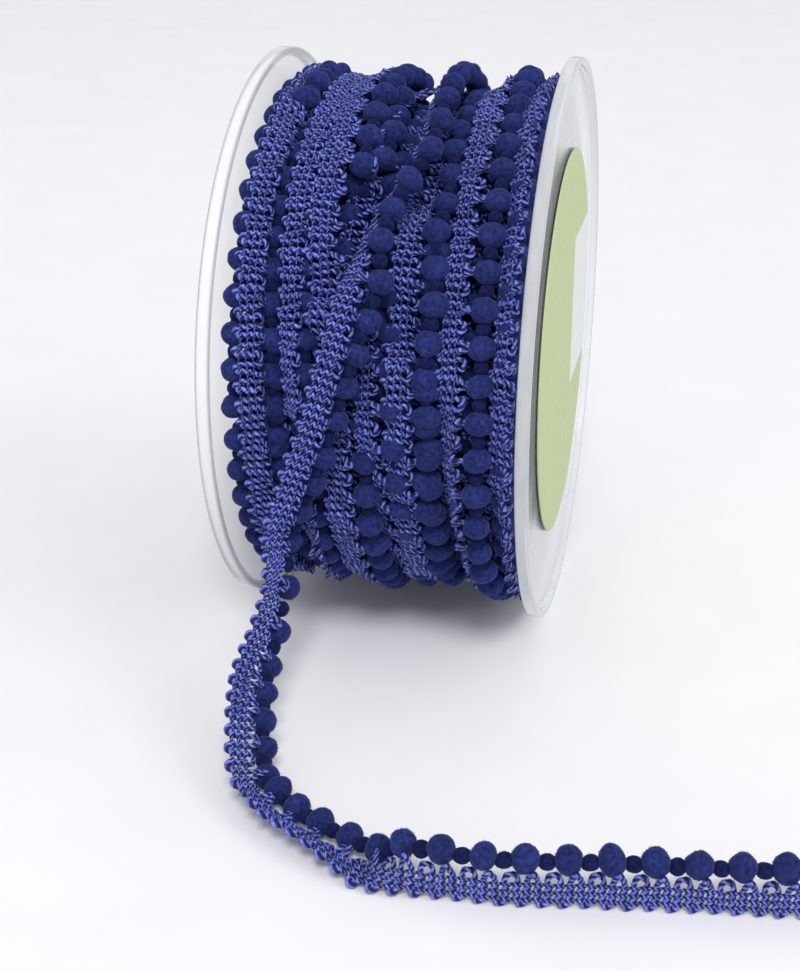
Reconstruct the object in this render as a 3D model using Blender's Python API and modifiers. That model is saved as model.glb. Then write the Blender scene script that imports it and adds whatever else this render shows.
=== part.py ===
"""Pompom fringe trim wound on a clear flanged spool, with its loose end drawn off over the roll and
laid on the table in front.

The trim is a narrow crocheted braid with a chain of small pompoms along one edge. The spool stands on
its two flanges with its axis along X. Sizes are in metres, +Z is up, and the origin is the middle of
the underside of the whole object.
"""

import math
from collections import namedtuple

import bmesh
import bpy
from mathutils import Vector

MM = 0.001

# Trim
TRIM_WIDTH = 9.5 * MM
POMPOM_RADIUS = 2.2 * MM
KNOT_RADIUS = 1.05 * MM
POMPOM_PITCH = 6.0 * MM
BRAID_THICKNESS = 1.2 * MM
GAP = 0.3 * MM
TABLE_CLEARANCE = 0.02 * MM
BRAID_WIDTH = TRIM_WIDTH - 2 * POMPOM_RADIUS - GAP
SCALLOP_DEPTH = 0.45 * MM

# Spool
FLANGE_RADIUS = 50.0 * MM
FLANGE_DISC = 1.2 * MM
RIM_DEPTH = 2.2 * MM
RIM_WALL = 1.5 * MM
RIM_ROUNDING = 0.4 * MM
FLANGE_STEPS = 72
INNER_WIDTH = 49.6 * MM
HUB_RADIUS = 12.0 * MM
HUB_STEPS = 32
LABEL_RADIUS = 34.0 * MM
LABEL_THICKNESS = 0.3 * MM
LABEL_STEPS = 64

# Roll, whose rows of pompoms stand a little higher than the braid between them
BED_RADIUS = 43.4 * MM
BRAID_CROWN = 45.3 * MM
POMPOM_CROWN = 46.5 * MM
POMPOM_DIP = 44.6 * MM
BRAID_HALF_WIDTH = 2.6 * MM
POMPOM_HALF_WIDTH = 2.4 * MM
POMPOMS_PER_TURN = 45
ROLL_STEP = 180 / POMPOMS_PER_TURN
ROLL_COLUMNS = 30
STRAND_CLEARANCE = 0.5 * MM
STRAND_SPREAD = 1.9 * MM

# Loose end
ROUTE_STEP = 1.5 * MM

# The facet under each flange is the flat spot that the spool stands on.
AXIS_HEIGHT = FLANGE_RADIUS * math.cos(math.pi / FLANGE_STEPS)

# Each row of the outer layer, and where it lies across the roll near the top, the front and the foot.
Row = namedtuple("Row", "kind top front foot")
ROWS = (
    Row("pompoms", -22.3, -22.3, -22.3),
    Row("braid", -18.6, -20.4, -18.8),
    Row("pompoms", -16.2, -17.2, -14.6),
    Row("braid", -14.6, -12.4, -10.8),
    Row("braid", -9.8, -7.9, -5.8),
    Row("pompoms", -4.0, -2.6, -1.2),
    Row("pompoms", 0.6, 2.9, 1.6),
    Row("braid", 4.0, 5.3, 5.2),
    Row("pompoms", 8.8, 9.4, 10.2),
    Row("braid", 13.1, 12.8, 14.6),
    Row("pompoms", 17.4, 18.2, 20.4),
    Row("braid", 21.0, 22.2, 22.4),
)
TOP_ANGLE = 75
FOOT_ANGLE = -45

# The strand over the roll: the angle round the axis from the front, the braid's place across the roll
# and from the axis, how far its pompom edge is turned outwards, and how far the pompoms are tucked
# behind the braid.
OnRoll = namedtuple("OnRoll", "angle x radius turned tucked")
STRAND_ON_ROLL = (
    OnRoll(150, 0.4, 43.8, 18, 0),
    OnRoll(127, 1.6, 43.6, 28, 0),
    OnRoll(109, 2.5, 43.2, 38, 0),
    OnRoll(94, 2.9, 42.9, 44, 0),
    OnRoll(80, 3.5, 42.6, 48, 0),
    OnRoll(70, 4.3, 42.5, 52, 0),
    OnRoll(61.5, 4.3, 42.5, 52, 0),
    OnRoll(54, 2.8, 42.6, 50, 0),
    OnRoll(47.8, 0.6, 42.8, 50, 0),
    OnRoll(41.8, -0.9, 43.0, 50, 0),
    OnRoll(36.1, -2.0, 43.6, 46, 2),
    OnRoll(29.5, -2.9, 45.2, 28, 24),
    OnRoll(24, -3.7, 46.8, 8, 56),
    OnRoll(15.3, -5.0, 47.5, 0, 76),
    OnRoll(6.5, -6.7, 47.7, 0, 80),
    OnRoll(-2.7, -8.7, 48.0, 0, 78),
)

# The free stretch: the braid's centre, with x and y from the spool's middle and z from the table, the
# way that its pompom edge points, and how far the pompoms are tucked behind it. Where z is 0 the trim
# rests on the table, and a tuck below 0 folds the pompoms over the braid's face.
Free = namedtuple("Free", "x y z side_x side_y side_z tucked")
STRAND_FREE = (
    Free(-10.5, -48.7, 42.7, 0.98, 0.15, 0.0, 74),
    Free(-12.3, -48.8, 37.0, 0.97, 0.2, 0.0, 70),
    Free(-14.2, -48.7, 31.5, 0.85, 0.5, 0.0, 58),
    Free(-15.0, -49.0, 26.5, 0.56, 0.82, 0.0, 46),
    Free(-14.7, -50.8, 22.2, 0.36, 0.93, 0.0, 42),
    Free(-15.0, -54.5, 18.2, 0.36, 0.9, -0.2, 42),
    Free(-15.4, -60.0, 15.0, 0.48, 0.8, -0.35, 44),
    Free(-15.5, -65.3, 12.9, 0.6, 0.68, -0.4, 46),
    Free(-14.9, -69.6, 11.1, 0.7, 0.55, -0.4, 50),
    Free(-13.9, -73.6, 9.4, 0.82, 0.4, -0.34, 54),
    Free(-13.0, -77.2, 7.1, 0.8, 0.48, -0.3, 44),
    Free(-12.2, -79.8, 4.8, 0.66, 0.68, -0.18, 20),
    Free(-10.6, -81.8, 2.7, 0.46, 0.85, -0.12, -8),
    Free(-8.3, -83.6, 0.0, 0.36, 0.92, -0.12, -24),
    Free(-4.7, -86.5, 0.0, 0.28, 0.93, -0.12, -30),
    Free(-1.6, -88.9, 0.0, 0.2, 0.97, -0.12, -30),
    Free(1.5, -91.2, 0.0, 0.15, 0.98, -0.1, -30),
    Free(5.3, -93.6, 0.0, 0.1, 0.99, -0.02, -28),
    Free(9.5, -96.1, 0.0, 0.05, 0.97, 0.2, -20),
    Free(13.2, -97.9, 0.0, 0.0, 0.8, 0.6, -10),
    Free(17.9, -98.9, 0.0, 0.0, 0.44, 0.9, 0),
    Free(24.9, -98.7, 0.0, 0.0, 0.16, 0.98, 0),
    Free(32.2, -98.5, 0.0, 0.0, 0.12, 0.98, 0),
    Free(45.7, -96.3, 0.0, 0.0, 0.16, 0.98, 0),
    Free(59.7, -94.4, 0.0, 0.0, 0.12, 0.98, 0),
    Free(70.1, -93.1, 0.0, 0.0, 0.16, 0.98, 0),
    Free(81.0, -91.7, 0.0, 0.0, 0.14, 0.98, 0),
)

# The pompom chain's radius through one pitch, from the knot before a pompom to the knot after it.
Swelling = namedtuple("Swelling", "share radius")
SWELLINGS = (
    Swelling(0.05, KNOT_RADIUS),
    Swelling(0.19, POMPOM_RADIUS * 0.55),
    Swelling(0.34, POMPOM_RADIUS * 0.93),
    Swelling(0.5, POMPOM_RADIUS),
    Swelling(0.66, POMPOM_RADIUS * 0.93),
    Swelling(0.81, POMPOM_RADIUS * 0.55),
    Swelling(0.95, KNOT_RADIUS),
)
CHAIN_NAMES = ("pompoms_over_roll", "pompoms_hanging", "pompoms_at_bend", "pompoms_on_table")
CHAIN_CUTS = (21, 31, 37)
CHAIN_BEVEL = 1

# One place along the loose end: the braid's centre, the way along it, the way across it to the pompom
# edge, the way that it faces, and the way from that edge to the pompoms' centres with its length.
RouteFrame = namedtuple("RouteFrame", "centre along side face reach")

# A round bit of the strand over the roll, which the roll keeps clear of.
Bit = namedtuple("Bit", "x angle height radius")


def clear_scene():
    """Removes what the default scene holds."""
    for found in list(bpy.data.objects):
        bpy.data.objects.remove(found)


def material(name, colour, roughness, alpha=1.0):
    """A Principled finish."""
    made = bpy.data.materials.new(name)
    made.use_nodes = True
    shader = made.node_tree.nodes["Principled BSDF"]
    shader.inputs["Base Color"].default_value = (*colour, 1.0)
    shader.inputs["Roughness"].default_value = roughness
    shader.inputs["Alpha"].default_value = alpha
    return made


def place(made, finish, collection):
    """Gives an object its finish and moves it to the part's collection."""
    made.data.materials.append(finish)
    for held in list(made.users_collection):
        held.objects.unlink(made)
    collection.objects.link(made)
    return made


def turned(name, profile, steps, closed):
    """A mesh object turned about X from (axial, radius) points, with a facet centred underneath."""
    half_step = math.pi / steps
    points = [(x, radius * math.sin(half_step), -radius * math.cos(half_step)) for x, radius in profile]
    edges = [(i, i + 1) for i in range(len(points) - 1)]
    if closed:
        edges.append((len(points) - 1, 0))
    outline = bpy.data.meshes.new(name + "_outline")
    outline.from_pydata(points, edges, [])
    lathe = bpy.data.objects.new(name + "_lathe", outline)
    bpy.context.scene.collection.objects.link(lathe)
    screw = lathe.modifiers.new("Screw", "SCREW")
    screw.axis = "X"
    screw.steps = steps
    screw.render_steps = steps
    screw.use_merge_vertices = True
    screw.merge_threshold = 0.00001
    screw.use_normal_calculate = True
    evaluated = lathe.evaluated_get(bpy.context.evaluated_depsgraph_get())
    mesh = bpy.data.meshes.new_from_object(evaluated)
    bpy.data.objects.remove(lathe)
    made = bpy.data.objects.new(name, mesh)
    bpy.context.scene.collection.objects.link(made)
    return made


def faced_out(made):
    """Turns a closed mesh's faces outwards."""
    work = bmesh.new()
    work.from_mesh(made.data)
    bmesh.ops.recalc_face_normals(work, faces=work.faces)
    work.to_mesh(made.data)
    work.free()
    made.data.shade_smooth()
    made.data.set_sharp_from_angle(angle=math.radians(40))
    return made


def flange(name, towards):
    """A clear disc with a lip round its outer side. towards is +1 on the right and -1 on the left."""
    lip = FLANGE_RADIUS - RIM_WALL
    profile = (
        (0.0, 0.0),
        (0.0, FLANGE_RADIUS - RIM_ROUNDING),
        (RIM_ROUNDING, FLANGE_RADIUS),
        (RIM_DEPTH, FLANGE_RADIUS),
        (RIM_DEPTH, lip),
        (FLANGE_DISC, lip - RIM_ROUNDING),
        (FLANGE_DISC, 0.0),
    )
    outwards = [(towards * (INNER_WIDTH / 2 + x), radius) for x, radius in profile]
    return faced_out(turned(name, outwards, FLANGE_STEPS, closed=False))


def rod(name, radius, length, steps):
    """A plain round bar or disc along X."""
    upright_to_x = (0, math.pi / 2, 0)
    bpy.ops.mesh.primitive_cylinder_add(vertices=steps, radius=radius, depth=length, rotation=upright_to_x)
    made = bpy.context.active_object
    made.name = name
    return made


def hub():
    """The plain core that joins the flanges inside the roll."""
    return rod("hub", HUB_RADIUS, INNER_WIDTH - 2 * GAP, HUB_STEPS)


def label():
    """The plain round paper label in the right flange's recess."""
    centre = INNER_WIDTH / 2 + FLANGE_DISC + GAP + LABEL_THICKNESS / 2
    made = rod("label", LABEL_RADIUS, LABEL_THICKNESS, LABEL_STEPS)
    made.location.x = centre
    return made


def swell(angle, centre):
    """1 at centre, falling to 0 a quarter turn away."""
    return max(0.0, math.cos(math.radians(angle - centre))) ** 2


def across(row, angle):
    """Where a row of the outer layer lies across the roll at an angle round it."""
    to_top = (row.top - row.front) * swell(angle, TOP_ANGLE)
    to_foot = (row.foot - row.front) * swell(angle, FOOT_ANGLE)
    return (row.front + to_top + to_foot) * MM


def arch(offset, half_width):
    """A round crown's share of its height at a distance from its middle."""
    return math.sqrt(max(0.0, 1 - (offset / half_width) ** 2))


def strand_bits(route):
    """The strand's cross-sections over the roll, as round bits across the braid and one at the pompoms."""
    bits = []
    for frame in route:
        spots = [(pompom_place(frame), POMPOM_RADIUS)]
        for share in (-0.5, -0.25, 0.0, 0.25, 0.5):
            spots.append((frame.centre + frame.side * BRAID_WIDTH * share, BRAID_THICKNESS / 2))
        for spot, radius in spots:
            height = math.hypot(spot.y, spot.z)
            if height - radius < POMPOM_CROWN + STRAND_CLEARANCE:
                bits.append(Bit(spot.x, math.degrees(math.atan2(spot.z, -spot.y)), height, radius))
    return bits


def roll_radius(x, angle, step, bits):
    """The roll's outer radius: the highest row there, pressed down where the strand crosses."""
    radius = BED_RADIUS
    for number, row in enumerate(ROWS):
        offset = x - across(row, angle)
        if row.kind == "braid":
            crown, half_width = BRAID_CROWN, BRAID_HALF_WIDTH
        else:
            crown = POMPOM_CROWN if (step + number) % 2 else POMPOM_DIP
            half_width = POMPOM_HALF_WIDTH
        radius = max(radius, BED_RADIUS + (crown - BED_RADIUS) * arch(offset, half_width))
    for bit in bits:
        if abs(bit.angle - angle) < ROLL_STEP and abs(bit.x - x) < bit.radius + STRAND_SPREAD:
            radius = min(radius, bit.height - bit.radius - STRAND_CLEARANCE)
    return radius


def roll(route):
    """The wound trim as one solid, with a ridge for each row of pompoms and braid in its outer layer."""
    half = INNER_WIDTH / 2 - GAP
    bore = HUB_RADIUS + GAP
    columns = [-half + 2 * half * i / ROLL_COLUMNS for i in range(ROLL_COLUMNS + 1)]
    profile = [(x, BED_RADIUS) for x in columns] + [(half, bore), (-half, bore)]
    made = turned("roll", profile, 2 * POMPOMS_PER_TURN, closed=True)
    bits = strand_bits(route)
    for vertex in made.data.vertices:
        x, y, z = vertex.co
        from_axis = math.hypot(y, z)
        if from_axis > bore + GAP:
            angle = math.degrees(math.atan2(z, -y))
            step = round((angle + 90) / ROLL_STEP - 0.5)
            grown = roll_radius(x, angle, step, bits) / from_axis
            vertex.co.y = y * grown
            vertex.co.z = z * grown
    return faced_out(made)


def smooth_between(a, b, c, d, t):
    """A share t of the way from b to c, on the smooth curve that comes from a and goes on to d."""
    pull = -a + 3 * b - 3 * c + d
    bow = 2 * a - 5 * b + 4 * c - d
    return b + 0.5 * ((c - a) * t + bow * t**2 + pull * t**3)


def smooth_line(points, step):
    """Points about a step apart on the smooth curve through all of the given ones."""
    line = []
    count = len(points)
    for i in range(count - 1):
        a, b, c, d = (points[min(max(i + k, 0), count - 1)] for k in (-1, 0, 1, 2))
        pieces = max(1, round((Vector(c[:3]) - Vector(b[:3])).length / step))
        for k in range(pieces):
            line.append(tuple(smooth_between(*values, k / pieces) for values in zip(a, b, c, d)))
    line.append(tuple(points[-1]))
    return line


def pompom_place(frame):
    """The centre of the chain of pompoms beside a place on the braid."""
    return frame.centre + frame.side * (BRAID_WIDTH / 2) + frame.reach


def rest_height(side, face, reach):
    """The lowest that the braid's centre can be with both its edge and its pompoms clear of the table."""
    braid = BRAID_WIDTH / 2 * abs(side.z) + BRAID_THICKNESS / 2 * abs(face.z)
    pompoms = POMPOM_RADIUS - BRAID_WIDTH / 2 * side.z - reach.z
    return max(braid, pompoms) + TABLE_CLEARANCE


def loose_route():
    """Frames along the loose end's braid, measured from the spool's axis."""
    given = []
    for row in STRAND_ON_ROLL:
        angle = math.radians(row.angle)
        turned_out = math.radians(row.turned)
        outwards = Vector((0, -math.cos(angle), math.sin(angle)))
        centre = outwards * row.radius * MM + Vector((row.x * MM, 0, 0))
        side = Vector((1, 0, 0)) * math.cos(turned_out) + outwards * math.sin(turned_out)
        given.append((*centre, *side, row.tucked))
    for row in STRAND_FREE:
        centre = (row.x * MM, row.y * MM, row.z * MM - AXIS_HEIGHT)
        given.append((*centre, row.side_x, row.side_y, row.side_z, row.tucked))
    line = smooth_line(given, ROUTE_STEP)
    frames = []
    for i, point in enumerate(line):
        before, after = line[max(i - 1, 0)], line[min(i + 1, len(line) - 1)]
        along = (Vector(after[:3]) - Vector(before[:3])).normalized()
        side = Vector(point[3:6])
        side = (side - along * side.dot(along)).normalized()
        face = along.cross(side)
        tucked = math.radians(point[6])
        length = GAP + POMPOM_RADIUS + BRAID_THICKNESS / 2 * abs(math.sin(tucked))
        reach = (side * math.cos(tucked) - face * math.sin(tucked)) * length
        centre = Vector(point[:3])
        centre.z = max(centre.z, rest_height(side, face, reach) - AXIS_HEIGHT)
        frames.append(RouteFrame(centre, along, side, face, reach))
    return frames


def loose_braid(route):
    """The loose end's braid: a strip with a scalloped edge, thickened."""
    points = []
    for i, frame in enumerate(route):
        scallop = SCALLOP_DEPTH if i % 2 else 0.0
        for offset in (-BRAID_WIDTH / 2 + scallop, 0.0, BRAID_WIDTH / 2):
            points.append(frame.centre + frame.side * offset)
    faces = []
    for i in range(len(route) - 1):
        for k in (0, 1):
            corner = 3 * i + k
            faces.append((corner, corner + 1, corner + 4, corner + 3))
    mesh = bpy.data.meshes.new("loose_braid")
    mesh.from_pydata(points, [], faces)
    made = bpy.data.objects.new("loose_braid", mesh)
    bpy.context.scene.collection.objects.link(made)
    solidify = made.modifiers.new("Solidify", "SOLIDIFY")
    solidify.thickness = BRAID_THICKNESS
    solidify.offset = 0.0
    return made


def along_route(route):
    """The distance of each frame from the start of the route."""
    distances = [0.0]
    for before, after in zip(route, route[1:]):
        distances.append(distances[-1] + (after.centre - before.centre).length)
    return distances


def frame_at(route, distances, distance):
    """The frame at a distance along the route."""
    i = max(k for k in range(len(route) - 1) if distances[k] <= distance)
    share = (distance - distances[i]) / (distances[i + 1] - distances[i])
    a, b = route[i], route[i + 1]
    return RouteFrame(*(p.lerp(q, share) for p, q in zip(a, b)))


def pompom_chain(name, route, first, last):
    """Part of the chain of pompoms along the braid's edge, as one tube whose radius swells at each."""
    distances = along_route(route)
    beads = [(number + row.share, row.radius) for number in range(first, last) for row in SWELLINGS]
    curve = bpy.data.curves.new(name, "CURVE")
    curve.dimensions = "3D"
    curve.bevel_depth = POMPOM_RADIUS
    curve.bevel_resolution = CHAIN_BEVEL
    curve.use_fill_caps = True
    spline = curve.splines.new("POLY")
    spline.points.add(len(beads) - 1)
    for point, (number, radius) in zip(spline.points, beads):
        frame = frame_at(route, distances, number * POMPOM_PITCH)
        point.co = (*pompom_place(frame), 1.0)
        point.radius = radius / POMPOM_RADIUS
    made = bpy.data.objects.new(name, curve)
    bpy.context.scene.collection.objects.link(made)
    return made


def stand_on_origin(pieces, parent):
    """Hangs the pieces on one empty and moves it so that the origin is under the middle of them all."""
    for piece in pieces:
        piece.parent = parent
    graph = bpy.context.evaluated_depsgraph_get()
    corners = []
    for piece in pieces:
        shown = piece.evaluated_get(graph)
        corners += [shown.matrix_world @ vertex.co for vertex in shown.to_mesh().vertices]
        shown.to_mesh_clear()
    low = Vector(min(c[k] for c in corners) for k in range(3))
    high = Vector(max(c[k] for c in corners) for k in range(3))
    parent.location = (-(low.x + high.x) / 2, -(low.y + high.y) / 2, -low.z)


def main():
    """Builds every piece."""
    clear_scene()
    collection = bpy.data.collections.new("pompom_trim_on_spool")
    bpy.context.scene.collection.children.link(collection)
    clear = material("clear_plastic", (0.93, 0.94, 0.95), 0.08, alpha=0.3)
    paper = material("label_paper", (0.55, 0.68, 0.4), 0.6)
    yarn = material("braid_yarn", (0.16, 0.17, 0.6), 0.45)
    pile = material("pompom_pile", (0.05, 0.07, 0.32), 0.95)

    route = loose_route()
    pieces = [
        place(flange("flange_left", -1), clear, collection),
        place(flange("flange_right", 1), clear, collection),
        place(hub(), clear, collection),
        place(label(), paper, collection),
        place(roll(route), pile, collection),
        place(loose_braid(route), yarn, collection),
    ]
    ends = (0, *CHAIN_CUTS, int(along_route(route)[-1] / POMPOM_PITCH))
    for name, first, last in zip(CHAIN_NAMES, ends, ends[1:]):
        pieces.append(place(pompom_chain(name, route, first, last), pile, collection))

    parent = bpy.data.objects.new("under_the_middle", None)
    collection.objects.link(parent)
    stand_on_origin(pieces, parent)


main()
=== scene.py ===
"""Pompom fringe trim wound on a clear flanged spool, with its loose end laid out in front.

The trim is a narrow crocheted braid with a chain of small pompoms along one edge. One yarn runs to and
fro across the braid: it makes two round scallops to every pompom on the free edge, and a ring under each
knot and a pair of legs under each pompom on the other. Lines of chain stitch hold its rungs together.
Sizes are in metres. The wound turns and the loose end are both bent along routes by the same recipes.
"""

import logging
import math
from dataclasses import dataclass, field
from enum import Enum

import bmesh
import bpy
import numpy as np
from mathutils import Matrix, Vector


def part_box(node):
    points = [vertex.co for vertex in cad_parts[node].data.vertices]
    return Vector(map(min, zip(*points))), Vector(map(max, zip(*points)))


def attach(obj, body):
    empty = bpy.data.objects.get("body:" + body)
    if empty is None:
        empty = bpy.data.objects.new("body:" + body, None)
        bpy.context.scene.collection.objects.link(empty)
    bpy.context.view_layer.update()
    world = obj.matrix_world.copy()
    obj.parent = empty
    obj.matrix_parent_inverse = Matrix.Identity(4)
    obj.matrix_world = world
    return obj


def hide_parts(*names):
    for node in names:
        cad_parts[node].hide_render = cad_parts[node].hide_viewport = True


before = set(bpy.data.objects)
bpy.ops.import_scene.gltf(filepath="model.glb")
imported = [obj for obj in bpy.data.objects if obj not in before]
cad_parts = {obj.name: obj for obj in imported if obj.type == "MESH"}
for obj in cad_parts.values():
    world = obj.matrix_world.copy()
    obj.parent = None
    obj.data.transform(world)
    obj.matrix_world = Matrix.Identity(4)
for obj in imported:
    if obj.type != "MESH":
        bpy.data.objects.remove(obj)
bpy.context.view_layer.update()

MM = 0.001
TAU = 2 * math.pi
ROOT = "root"
log = logging.getLogger("trim")


# Trees of nodes


class Tree:
    """A node tree that is written as nested calls."""

    def __init__(self, tree: bpy.types.NodeTree) -> None:
        """Args:
        tree: the tree to add nodes to.
        """
        self.tree = tree

    @staticmethod
    def pick(sockets: object, name: str | int) -> bpy.types.NodeSocket:
        """Finds a socket in use.

        Args:
            sockets: a node's inputs or outputs.
            name: its name or number.

        Returns:
            The first socket of that name that the node's settings leave in use.
        """
        if isinstance(name, int):
            return sockets[name]
        return next(one for one in sockets if one.name == name and not one.is_unavailable)

    def node(self, kind: str, inputs: dict | None = None, **settings: object) -> bpy.types.Node:
        """Adds a node.

        Args:
            kind: the node's type.
            inputs: a value or a socket for each input, by its name or number.
            settings: the node's own properties.

        Returns:
            The new node.
        """
        made = self.tree.nodes.new(kind)
        for name, value in settings.items():
            setattr(made, name, value)
        for name, value in (inputs or {}).items():
            socket = self.pick(made.inputs, name)
            if isinstance(value, bpy.types.NodeSocket):
                self.tree.links.new(value, socket)
            else:
                socket.default_value = value
        return made

    def out(
        self, kind: str, output: str | int, inputs: dict | None = None, **settings: object
    ) -> bpy.types.NodeSocket:
        """Adds a node and gives one of its outputs.

        Args:
            kind: the node's type.
            output: the output's name or number.
            inputs: a value or a socket for each input.
            settings: the node's own properties.

        Returns:
            The output socket.
        """
        return self.pick(self.node(kind, inputs, **settings).outputs, output)

    def maths(
        self, operation: str, first: object, second: object = 0.0, clamp: bool = False
    ) -> bpy.types.NodeSocket:
        """Adds a Math node.

        Args:
            operation: what it does.
            first: a number or a socket.
            second: a number or a socket.
            clamp: whether the result is kept between 0 and 1.

        Returns:
            Its result.
        """
        return self.out("ShaderNodeMath", 0, {0: first, 1: second}, operation=operation, use_clamp=clamp)

    def vectors(self, operation: str, first: object, second: object = (0, 0, 0)) -> bpy.types.NodeSocket:
        """Adds a Vector Math node.

        Args:
            operation: what it does.
            first: a vector or a socket.
            second: a vector or a socket, or a number or its socket to scale by.

        Returns:
            Its result.
        """
        place = 3 if operation == "SCALE" else 1
        return self.out("ShaderNodeVectorMath", 0, {0: first, place: second}, operation=operation)

    def parts(self, vector: bpy.types.NodeSocket) -> list[bpy.types.NodeSocket]:
        """Gives a vector's x, y and z."""
        return list(self.node("ShaderNodeSeparateXYZ", {0: vector}).outputs)


class Recipe(Tree):
    """A Geometry Nodes tree with named inputs, which turns a guide into a plain mesh."""

    def __init__(self, name: str, **kinds: str) -> None:
        """Args:
        name: the tree's name.
        kinds: the socket type of each input after the guide.
        """
        super().__init__(bpy.data.node_groups.new(name, "GeometryNodeTree"))
        sockets = self.tree.interface
        sockets.new_socket(name="Guide", in_out="INPUT", socket_type="NodeSocketGeometry")
        sockets.new_socket(name="Made", in_out="OUTPUT", socket_type="NodeSocketGeometry")
        self.keys = {}
        for label, kind in {**kinds, "finish": "Material"}.items():
            made = sockets.new_socket(name=label, in_out="INPUT", socket_type="NodeSocket" + kind)
            self.keys[label] = made.identifier
        self.given = {one.name: one for one in self.tree.nodes.new("NodeGroupInput").outputs}
        self.build()

    def build(self) -> None:
        """Adds the recipe's nodes."""

    def attribute(self, name: str, kind: str = "FLOAT_VECTOR") -> bpy.types.NodeSocket:
        """Reads a named attribute of the geometry."""
        return self.out("GeometryNodeInputNamedAttribute", "Attribute", {"Name": name}, data_type=kind)

    def unevenness(self, place: bpy.types.NodeSocket, amount: object, scale: object) -> bpy.types.NodeSocket:
        """A smooth random shift.

        Args:
            place: where the noise is read.
            amount: the most that it shifts by, each way.
            scale: how fine the noise is.

        Returns:
            The shift as a vector.
        """
        moved = self.vectors("ADD", place, self.out("ShaderNodeCombineXYZ", 0, {2: self.given["seed"]}))
        noise = self.out("ShaderNodeTexNoise", "Color", {"Vector": moved, "Scale": scale, "Detail": 1.0})
        centred = self.vectors("SUBTRACT", noise, (0.5, 0.5, 0.5))
        return self.vectors("SCALE", centred, self.maths("MULTIPLY", amount, 4.0))

    def finish(self, geometry: bpy.types.NodeSocket) -> None:
        """Ends the tree: instances become real and get their finish."""
        real = self.out("GeometryNodeRealizeInstances", 0, {0: geometry})
        smooth = self.out("GeometryNodeSetShadeSmooth", 0, {0: real})
        done = self.out("GeometryNodeSetMaterial", 0, {0: smooth, "Material": self.given["finish"]})
        self.tree.links.new(done, self.tree.nodes.new("NodeGroupOutput").inputs[0])

    def make(self, guide: bpy.types.Mesh, **values: object) -> bpy.types.Mesh:
        """Runs the recipe.

        Args:
            guide: the mesh that it starts from.
            values: each named input's value.

        Returns:
            The result as a plain mesh.
        """
        carrier = bpy.data.objects.new("carrier", guide)
        bpy.context.scene.collection.objects.link(carrier)
        modifier = carrier.modifiers.new("recipe", "NODES")
        modifier.node_group = self.tree
        for name, value in values.items():
            modifier[self.keys[name]] = value
        evaluated = carrier.evaluated_get(bpy.context.evaluated_depsgraph_get())
        mesh = bpy.data.meshes.new_from_object(evaluated)
        bpy.data.objects.remove(carrier)
        return mesh


class BentBraid(Recipe):
    """Repeats one pitch of braid in a flat row and bends the row along a route.

    The guide is the route: a chain of edges with a side, a face, a reach and a front at each point. The
    cell's x runs along the route, its y to the side and its z to the face. Past the braid's edge its y
    follows the reach, towards the pompoms, and its z the front, which is shorter where they are tucked.
    """

    def build(self) -> None:
        """Adds the recipe's nodes."""
        pitch = self.given["pitch"]
        zero = {0: self.given["first"]}
        start = self.out("ShaderNodeCombineXYZ", 0, zero)
        stride = self.out("ShaderNodeCombineXYZ", 0, {0: pitch})
        count = {"Count": self.given["cells"], "Start Location": start, "Offset": stride}
        row = self.out("GeometryNodeMeshLine", 0, count)
        cell = self.out("GeometryNodeObjectInfo", "Geometry", {"Object": self.given["cell"]})
        copies = self.out("GeometryNodeInstanceOnPoints", 0, {"Points": row, "Instance": cell})
        real = self.out("GeometryNodeRealizeInstances", 0, {0: copies})
        flat = self.out("GeometryNodeMergeByDistance", 0, {0: real, "Distance": 0.02 * MM})
        place = self.out("GeometryNodeInputPosition", 0)
        coarse = self.unevenness(place, self.given["uneven"], 170.0)
        fine = self.unevenness(place, self.maths("MULTIPLY", self.given["uneven"], 0.45), 620.0)
        moved = self.vectors("ADD", self.vectors("ADD", place, coarse), fine)
        along, across, out = self.parts(moved)
        curve = self.out("GeometryNodeMeshToCurve", 0, {0: self.given["Guide"]})
        near = self.maths("MINIMUM", across, self.given["edge"])
        far = self.maths("MAXIMUM", self.maths("SUBTRACT", across, self.given["edge"]), 0.0)
        past = self.maths("DIVIDE", far, 0.5 * MM, clamp=True)
        front = self.maths("MULTIPLY", out, past)
        level = self.maths("SUBTRACT", out, front)
        total = None
        for name, amount in (("side", near), ("reach", far), ("face", level), ("front", front)):
            sample = self.node(
                "GeometryNodeSampleCurve",
                {"Curves": curve, "Value": self.attribute(name), "Length": along},
                mode="LENGTH",
                data_type="FLOAT_VECTOR",
            )
            total = self.pick(sample.outputs, "Position") if total is None else total
            share = self.vectors("SCALE", self.pick(sample.outputs, "Value"), amount)
            total = self.vectors("ADD", total, share)
        self.finish(self.out("GeometryNodeSetPosition", 0, {0: flat, "Position": total}))


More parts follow.
